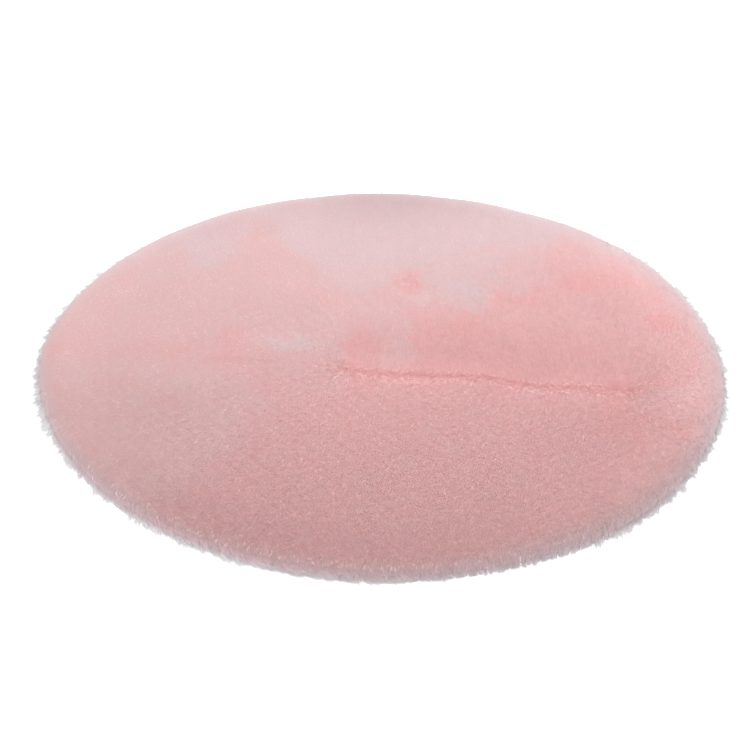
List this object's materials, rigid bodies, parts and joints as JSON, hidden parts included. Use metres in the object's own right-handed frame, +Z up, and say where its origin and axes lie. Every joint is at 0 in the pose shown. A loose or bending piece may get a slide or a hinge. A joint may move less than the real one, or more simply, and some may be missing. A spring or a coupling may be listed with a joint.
{
  "type": "round shag rug",
  "caption": "Round one-piece shag rug of deep soft pile, lying flat, with a fold crease across the middle and loose locks of pile at its rim.",
  "frame": {"origin": "on the floor, under the middle of the rug", "axes": "+Z up, out of the pile; -Y towards the rug's front, with the fold crease running roughly along X"},
  "size_m": [1.2075, 1.2023, 0.0317],
  "materials": {
    "pile_cloth": "deep, soft, brushed pile with a low sheen"
  },
  "bodies": {
    "root": {"rug": "pile_cloth"}
  },
  "joints": []
}
